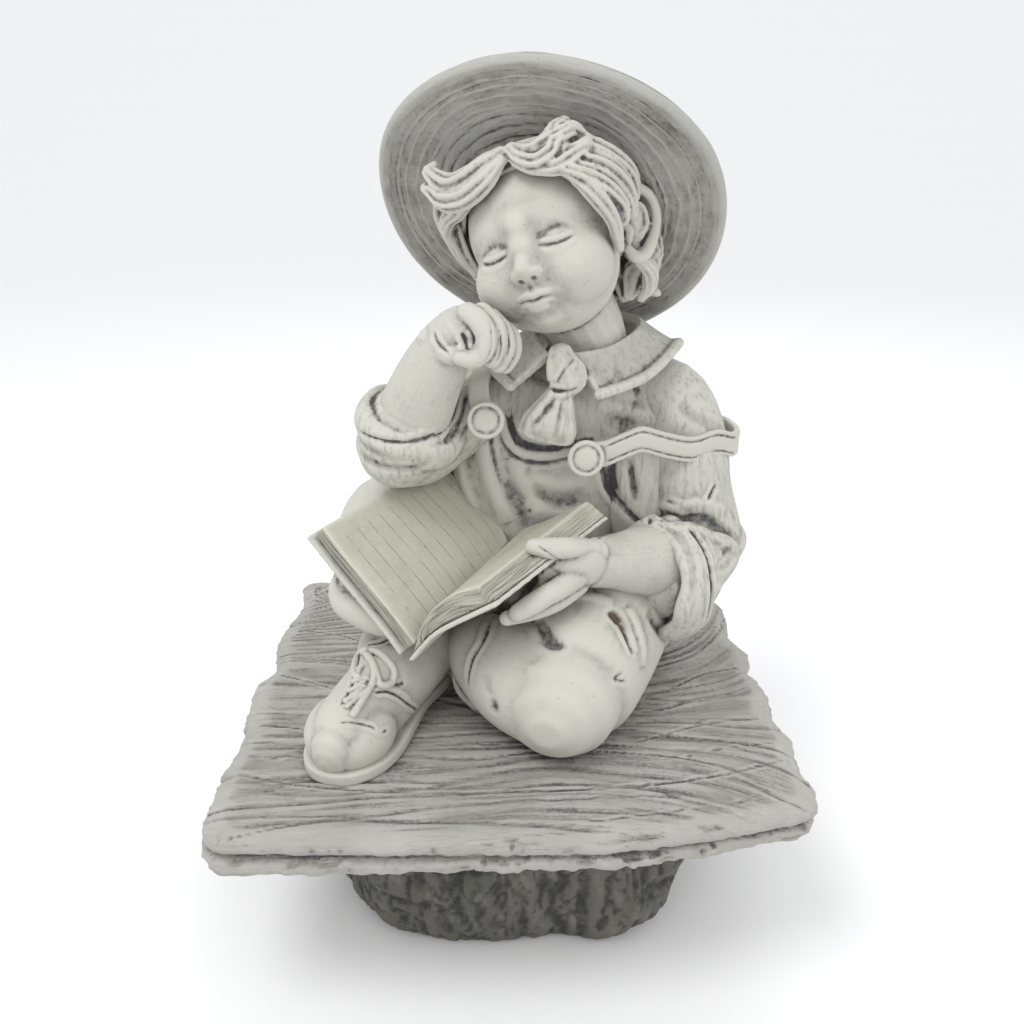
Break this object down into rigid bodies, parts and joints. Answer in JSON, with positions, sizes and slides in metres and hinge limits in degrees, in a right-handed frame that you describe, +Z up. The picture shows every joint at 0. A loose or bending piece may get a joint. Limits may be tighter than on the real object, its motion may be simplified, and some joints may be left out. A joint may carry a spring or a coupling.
{
  "type": "reading boy statue",
  "caption": "Weathered cast stone garden statue: a child in a wide straw hat sits on a rough plank over a tree stump, head on one fist, reading an open book.",
  "frame": {"origin": "centre of the stump's underside, on the ground", "axes": "+Z up; the statue faces -Y, the side the picture was taken from; +X is to the viewer's right"},
  "size_m": [0.4409, 0.397, 0.6488],
  "materials": {
    "boy_stone": "weathered, matt",
    "plank_stone": "weathered, matt",
    "stump_stone": "weathered, rough"
  },
  "bodies": {
    "root": {"boy_figure": "boy_stone", "plank_slab": "plank_stone", "stump_base": "stump_stone"}
  },
  "joints": []
}
